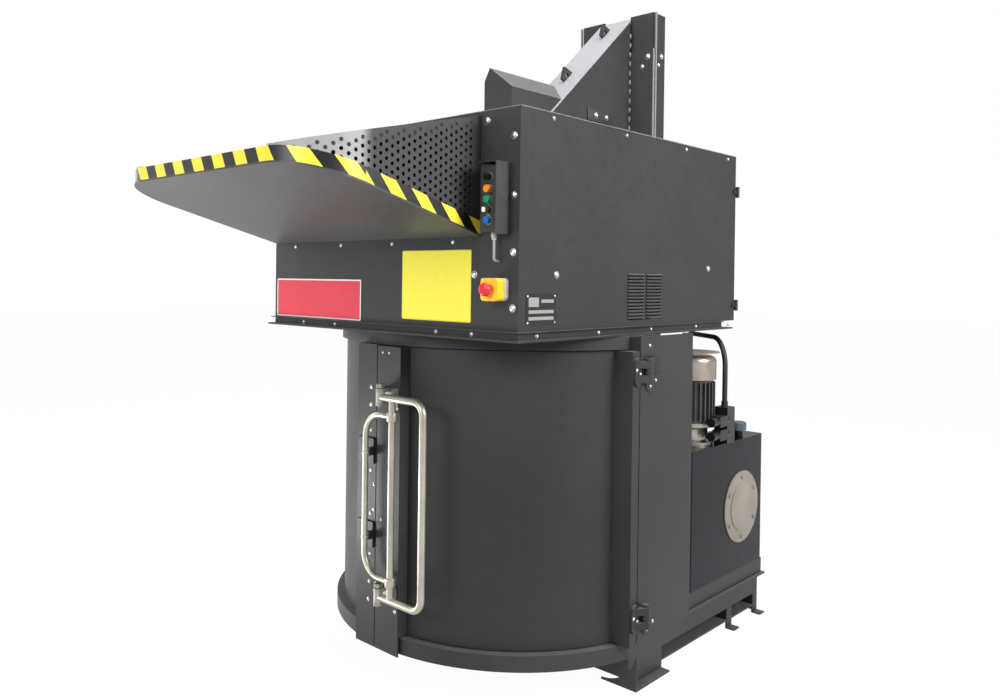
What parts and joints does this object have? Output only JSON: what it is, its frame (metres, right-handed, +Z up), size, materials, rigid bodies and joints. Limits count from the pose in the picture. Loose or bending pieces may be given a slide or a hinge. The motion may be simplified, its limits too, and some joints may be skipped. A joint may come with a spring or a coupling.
{
  "type": "rotary compactor",
  "caption": "Rotary waste compactor: steel drum with swinging door, feed hopper with perforated guards, mast-lifted toothed roller, forkable base, power unit at the rear.",
  "frame": {"origin": "on the floor under the drum's axis", "axes": "+Z up, the feed chute towards -Y, the power unit at +X and +Y"},
  "size_m": [1.438, 2.162, 2.585],
  "materials": {
    "anthracite": "fine-texture powder coat, satin",
    "light_grey": "powder coat, satin",
    "bare_steel": "machined",
    "zinc": "zinc plated",
    "worn_steel": "worn bare steel",
    "cast": "painted casting",
    "black_plastic": "moulded",
    "tank_black": "gloss paint",
    "cover_grey": "satin",
    "motor_grey": "cast, painted",
    "cowl_silver": "satin",
    "yellow_plastic": "moulded",
    "red_plastic": "moulded",
    "orange_plastic": "moulded",
    "green_plastic": "moulded",
    "blue_plastic": "moulded",
    "rubber": "matt"
  },
  "bodies": {
    "frame": {"base_frame": "anthracite", "floor_pan": "anthracite", "drum_wall": "anthracite", "latch_post": "anthracite", "side_columns": "anthracite", "drum_collar": "anthracite", "column_hinges": "anthracite", "loop_saddles": "bare_steel", "housing_floor": "anthracite", "front_panel": "anthracite", "front_post": "anthracite", "right_panel": "anthracite", "left_panel": "anthracite", "rear_panels": "anthracite", "service_hinge_blocks": "black_plastic", "roof_panel": "anthracite", "chute_tray": "anthracite", "chute_guards": "anthracite", "control_box": "black_plastic", "control_hood": "anthracite", "cable_gland": "black_plastic", "control_lead": "rubber", "pilot_lamp": "black_plastic", "stop_box": "yellow_plastic", "mast": "anthracite", "lift_barrel": "cast", "tank_tray": "anthracite", "oil_tank": "tank_black", "tank_cover": "cover_grey", "pump_bell": "cowl_silver", "motor_body": "motor_grey", "fan_cowl": "cowl_silver", "valve_block": "cast", "steel_pipe": "bare_steel", "pressure_hose": "rubber"},
    "lift_carriage": {"carriage": "anthracite", "lift_rod": "bare_steel", "arm_box": "anthracite", "arm_cover": "light_grey", "lifting_lugs": "zinc", "motor_hood": "anthracite", "rotor_motor": "cast", "rotor_bearing": "cast"},
    "rotor": {"rotor_shaft": "bare_steel", "roller_axle": "bare_steel"},
    "roller": {"roller": "worn_steel"},
    "door": {"door_skin": "anthracite", "door_frame": "anthracite", "door_hinges": "anthracite", "latch_brackets": "bare_steel"},
    "latch_handle": {"latch_handle": "zinc"},
    "latch_loop": {"latch_loop": "zinc"},
    "service_door": {"service_door": "anthracite", "service_hinge_leaves": "black_plastic"},
    "orange_button": {"orange_button": "orange_plastic"},
    "green_button": {"green_button": "green_plastic"},
    "blue_button": {"blue_button": "blue_plastic"},
    "key_switch": {"key_switch": "black_plastic"},
    "stop_knob": {"stop_knob": "red_plastic"},
    "filler_cap": {"filler_cap": "black_plastic"}
  },
  "joints": [
    {"name": "carriage_lift", "type": "slide", "parent": "frame", "child": "lift_carriage", "axis": [0, 0, 1], "range_m": [-0.7, 0]},
    {"name": "rotor_spin", "type": "hinge", "parent": "lift_carriage", "child": "rotor", "pos_m": [0, 0, 1.205], "axis": [0, 0, 1], "continuous": true},
    {"name": "roller_spin", "type": "hinge", "parent": "rotor", "child": "roller", "pos_m": [0, 0, 1.205], "axis": [0.9539, 0, 0.3], "continuous": true},
    {"name": "door_swing", "type": "hinge", "parent": "frame", "child": "door", "pos_m": [0.721, -0.14, 0.66], "axis": [0, 0, 1], "range_deg": [0, 110]},
    {"name": "handle_swing", "type": "hinge", "parent": "door", "child": "latch_handle", "pos_m": [0.047, -0.737, 0.64], "axis": [0, 0, 1], "range_deg": [-150, 0]},
    {"name": "loop_swing", "type": "hinge", "parent": "latch_handle", "child": "latch_loop", "pos_m": [0.107, -0.737, 0.64], "axis": [0, 0, 1], "range_deg": [0, 150]},
    {"name": "service_door_swing", "type": "hinge", "parent": "frame", "child": "service_door", "pos_m": [0.633, 0.659, 1.55], "axis": [0, 0, -1], "range_deg": [0, 110]},
    {"name": "orange_button_press", "type": "slide", "parent": "frame", "child": "orange_button", "axis": [0, 1, 0], "range_m": [0, 0.0027], "stiffness_N_per_m": 400},
    {"name": "green_button_press", "type": "slide", "parent": "frame", "child": "green_button", "axis": [0, 1, 0], "range_m": [0, 0.0027], "stiffness_N_per_m": 400},
    {"name": "blue_button_press", "type": "slide", "parent": "frame", "child": "blue_button", "axis": [0, 1, 0], "range_m": [0, 0.0027], "stiffness_N_per_m": 400},
    {"name": "key_switch_turn", "type": "hinge", "parent": "frame", "child": "key_switch", "pos_m": [0.557, -0.763, 1.581], "axis": [0, 1, 0], "range_deg": [-45, 45]},
    {"name": "stop_knob_press", "type": "slide", "parent": "frame", "child": "stop_knob", "axis": [0, 1, 0], "range_m": [0, 0.006], "stiffness_N_per_m": 500},
    {"name": "filler_cap_turn", "type": "hinge", "parent": "frame", "child": "filler_cap", "pos_m": [0.652, 0.65, 0.78], "axis": [0, 0, 1], "range_deg": [0, 90]}
  ],
  "couplings": [
    {"joint": "roller_spin", "follows": "rotor_spin", "ratio": -3.3333},
    {"joint": "loop_swing", "follows": "handle_swing", "ratio": -1}
  ]
}
